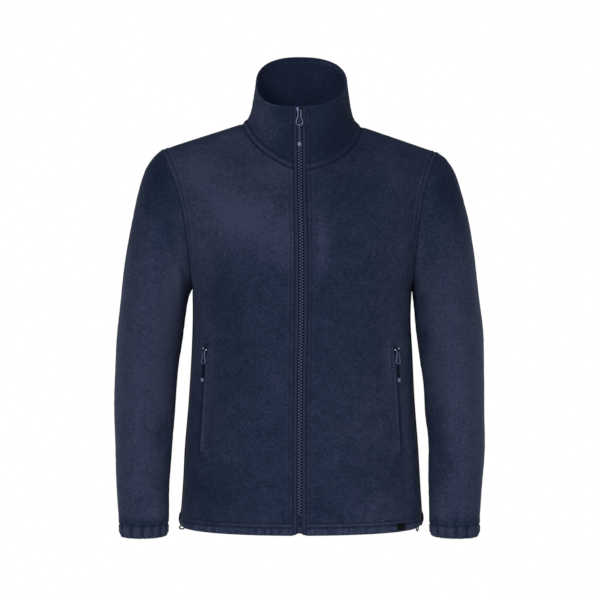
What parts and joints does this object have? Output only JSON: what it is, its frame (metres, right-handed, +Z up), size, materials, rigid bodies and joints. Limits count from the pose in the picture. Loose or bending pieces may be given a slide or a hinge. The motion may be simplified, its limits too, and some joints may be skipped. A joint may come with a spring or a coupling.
{
  "type": "fleece zip jacket",
  "caption": "Navy fleece jacket with a stand-up collar, full-length front zip with hinged pulls, slanted zip pockets, set-in sleeves and gathered cuffs, held in its worn form.",
  "frame": {"origin": "the nape: the neck seam's point at the centre back, where the jacket rests on the wearer's neck", "axes": "+Z up towards the collar, the front with its zip faces -Y, and the wearer's left sleeve is at +X"},
  "size_m": [0.6392, 0.2692, 0.8394],
  "materials": {
    "fleece_navy": "brushed polyester fleece, matt, solid navy, short soft nap",
    "zip_tape_navy": "woven polyester zip tape and moulded teeth in navy",
    "slider_grey": "die-cast zinc, painted blue-grey, satin",
    "cord_dark": "braided polyester cord, near black navy",
    "cord_grey": "braided polyester strap, slate blue",
    "pull_end_grey": "moulded soft plastic end, light blue-grey",
    "label_black": "woven folded tab, black and bare"
  },
  "bodies": {
    "jacket": {"back": "fleece_navy", "collar": "fleece_navy", "cuff_left": "fleece_navy", "cuff_right": "fleece_navy", "front_left": "fleece_navy", "front_right": "fleece_navy", "hem_cord_left": "cord_dark", "hem_cord_right": "cord_dark", "hem_label": "label_black", "pocket_coil_left": "zip_tape_navy", "pocket_coil_right": "zip_tape_navy", "pocket_slider_left": "slider_grey", "pocket_slider_right": "slider_grey", "pocket_welt_left": "fleece_navy", "pocket_welt_right": "fleece_navy", "sleeve_left": "fleece_navy", "sleeve_right": "fleece_navy", "zip_box": "zip_tape_navy", "zip_pin": "zip_tape_navy", "zip_slider": "slider_grey", "zip_tape_left": "zip_tape_navy", "zip_tape_right": "zip_tape_navy"},
    "zip_pull": {"zip_puller": "slider_grey", "zip_pull_cord": "cord_grey", "zip_pull_end": "pull_end_grey"},
    "pocket_right_pull": {"pocket_right_puller": "slider_grey", "pocket_right_pull_cord": "cord_dark", "pocket_right_pull_end": "pull_end_grey"},
    "pocket_left_pull": {"pocket_left_puller": "slider_grey", "pocket_left_pull_cord": "cord_dark", "pocket_left_pull_end": "pull_end_grey"}
  },
  "joints": [
    {"name": "zip_pull_hinge", "type": "hinge", "parent": "jacket", "child": "zip_pull", "pos_m": [0, -0.08247, 0.00055], "axis": [-1, 0, 0], "range_deg": [0, 160]},
    {"name": "pocket_right_pull_hinge", "type": "hinge", "parent": "jacket", "child": "pocket_right_pull", "pos_m": [-0.16092, -0.08508, -0.40519], "axis": [-0.6792, 0.7277, 0.0955], "range_deg": [0, 150]},
    {"name": "pocket_left_pull_hinge", "type": "hinge", "parent": "jacket", "child": "pocket_left_pull", "pos_m": [0.16542, -0.08835, -0.40517], "axis": [-0.7202, -0.6899, -0.0732], "range_deg": [0, 150]}
  ]
}
